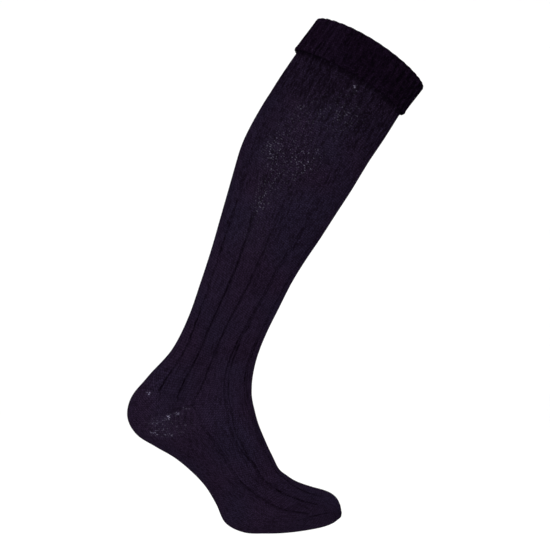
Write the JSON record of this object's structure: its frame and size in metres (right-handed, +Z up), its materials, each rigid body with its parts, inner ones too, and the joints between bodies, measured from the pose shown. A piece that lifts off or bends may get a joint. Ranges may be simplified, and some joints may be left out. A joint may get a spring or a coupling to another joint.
{
  "type": "kilt hose sock",
  "caption": "Knee-high ribbed wool kilt hose sock with a turned-over cuff, shaped as worn on a leg that steps on the ball of its foot.",
  "frame": {"origin": "centre of the leg opening, at the upper edge of the leg under the cuff's fold", "axes": "+Z up, +X towards the toes, +Y from the near side to the far side; the sock's plane of symmetry is Y = 0"},
  "size_m": [0.3106, 0.121, 0.5377],
  "materials": {
    "cuff_rib_wool": "matt dark aubergine-navy worsted wool in a narrow rib, darker than the leg",
    "leg_rib_wool": "matt dark aubergine-navy worsted wool in wide ribs, with pale surface fluff",
    "plain_knit_wool": "matt dark aubergine-navy worsted wool in plain stocking stitch"
  },
  "bodies": {
    "root": {"turnover_cuff": "cuff_rib_wool", "rib_top": "leg_rib_wool", "leg": "leg_rib_wool", "heel": "plain_knit_wool", "instep": "leg_rib_wool", "sole": "plain_knit_wool", "toe": "plain_knit_wool"}
  },
  "joints": []
}
